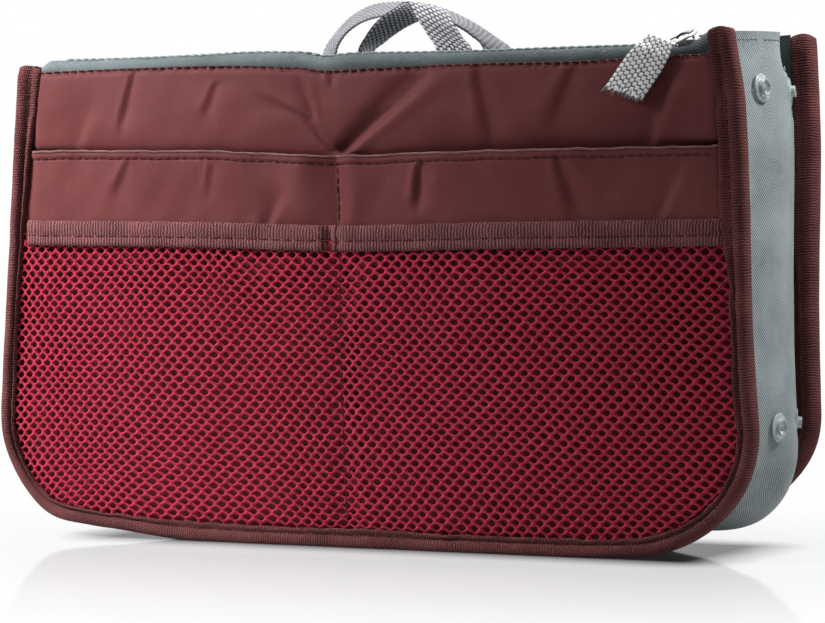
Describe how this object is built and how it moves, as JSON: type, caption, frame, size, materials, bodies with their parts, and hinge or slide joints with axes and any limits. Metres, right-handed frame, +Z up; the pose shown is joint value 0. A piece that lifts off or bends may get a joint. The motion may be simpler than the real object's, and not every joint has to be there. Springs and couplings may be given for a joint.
{
  "type": "purse organizer insert",
  "caption": "Soft standing purse organizer with bound walls, mesh and slip pockets, zipped front wall, folding gusset with press studs and webbing handles.",
  "frame": {"origin": "on the floor, below the middle of the whole object's box", "axes": "+X to the right as seen from the front, +Y from the front wall to the rear wall, +Z up"},
  "size_m": [0.2882, 0.0861, 0.1896],
  "materials": {
    "burgundy_nylon": "woven, slight sheen",
    "crimson_mesh": "knitted net",
    "ribbed_tape": "ribbed weave",
    "slate_nylon": "plain weave",
    "zip_nylon": "satin",
    "slider_enamel": "satin",
    "ring_steel": "polished",
    "grey_webbing": "coarse weave",
    "clear_stud": "milky gloss"
  },
  "bodies": {
    "front_wall": {"front_panel": "burgundy_nylon", "front_slip_pocket": "burgundy_nylon", "front_mesh_pocket": "crimson_mesh", "mesh_pocket_tape": "ribbed_tape", "front_binding": "ribbed_tape", "front_lining": "slate_nylon", "front_inner_pocket": "slate_nylon", "zip_tape_front": "slate_nylon", "zip_tape_rear": "slate_nylon", "zip_coil_front": "zip_nylon", "zip_coil_rear": "zip_nylon", "zip_stop_left": "zip_nylon", "zip_stop_right": "zip_nylon", "front_handle_left_end": "grey_webbing", "front_handle_right_end": "grey_webbing", "gusset_front_band": "slate_nylon", "gusset_pleat": "slate_nylon", "left_upper_socket": "clear_stud", "left_upper_socket_cap": "clear_stud", "left_lower_socket": "clear_stud", "left_lower_socket_cap": "clear_stud", "right_upper_socket": "clear_stud", "right_upper_socket_cap": "clear_stud", "right_lower_socket": "clear_stud", "right_lower_socket_cap": "clear_stud"},
    "rear_wall": {"rear_panel": "burgundy_nylon", "rear_slip_pocket": "burgundy_nylon", "rear_binding": "ribbed_tape", "rear_lining": "slate_nylon", "rear_inner_pocket": "slate_nylon", "rear_handle_left_end": "grey_webbing", "rear_handle_right_end": "grey_webbing", "gusset_rear_band": "slate_nylon", "left_upper_stud": "clear_stud", "left_upper_stud_cap": "clear_stud", "left_lower_stud": "clear_stud", "left_lower_stud_cap": "clear_stud", "right_upper_stud": "clear_stud", "right_upper_stud_cap": "clear_stud", "right_lower_stud": "clear_stud", "right_lower_stud_cap": "clear_stud"},
    "zip_slider": {"zip_slider_body": "slider_enamel"},
    "pull_ring": {"zip_pull_ring": "ring_steel"},
    "pull_ribbon": {"zip_pull_ribbon": "grey_webbing"},
    "front_handle": {"front_handle_loop": "grey_webbing"},
    "rear_handle": {"rear_handle_loop": "grey_webbing"}
  },
  "joints": [
    {"name": "depth_fold", "type": "slide", "parent": "front_wall", "child": "rear_wall", "axis": [0, 1, 0], "range_m": [-0.0165, 0], "deforming": ["gusset_pleat"]},
    {"name": "zip_slide", "type": "slide", "parent": "front_wall", "child": "zip_slider", "axis": [1, 0, 0], "range_m": [-0.229, 0]},
    {"name": "ring_swing", "type": "hinge", "parent": "zip_slider", "child": "pull_ring", "pos_m": [0.1155, -0.0306, 0.173], "axis": [-0.7507, 0.6606, 0], "range_deg": [0, 100]},
    {"name": "ribbon_lift", "type": "hinge", "parent": "pull_ring", "child": "pull_ribbon", "pos_m": [0.10955, -0.03737, 0.16941], "axis": [-0.7507, 0.6606, 0], "range_deg": [0, 80]},
    {"name": "front_handle_fold", "type": "hinge", "parent": "front_wall", "child": "front_handle", "pos_m": [0.0165, -0.02485, 0.1636], "axis": [-1, 0, 0], "range_deg": [0, 85]},
    {"name": "rear_handle_fold", "type": "hinge", "parent": "rear_wall", "child": "rear_handle", "pos_m": [-0.009, 0.03457, 0.16351], "axis": [1, 0, 0], "range_deg": [-70, 42]}
  ]
}
